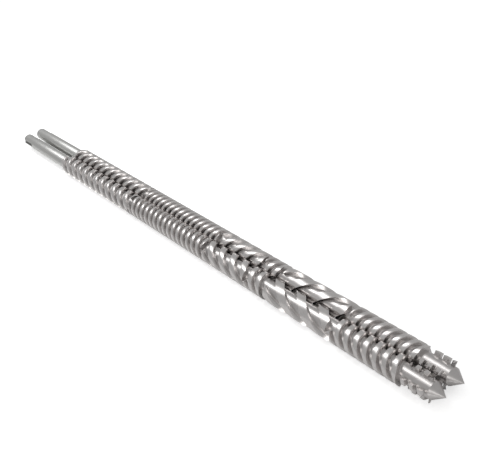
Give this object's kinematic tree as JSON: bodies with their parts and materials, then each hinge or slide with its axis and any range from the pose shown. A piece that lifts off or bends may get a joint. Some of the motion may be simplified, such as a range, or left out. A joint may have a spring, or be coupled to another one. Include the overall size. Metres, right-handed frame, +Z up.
{
  "type": "twin extruder screw pair",
  "caption": "Pair of intermeshing counter-rotating parallel extruder screws with zoned trapezoidal flights, plain drive shanks with keyed journals and conical tips.",
  "frame": {"origin": "on the surface that the pair lies on, under the middle of its length and half way between the two screw axes", "axes": "+X along both screw axes towards the conical tips, +Z up, +Y from the right-hand screw to the left-hand one"},
  "size_m": [2.9536, 0.165, 0.0886],
  "materials": {
    "screw_steel": "ground and polished steel"
  },
  "bodies": {
    "root": {"screw_right_hand": "screw_steel", "screw_left_hand": "screw_steel"}
  },
  "joints": []
}
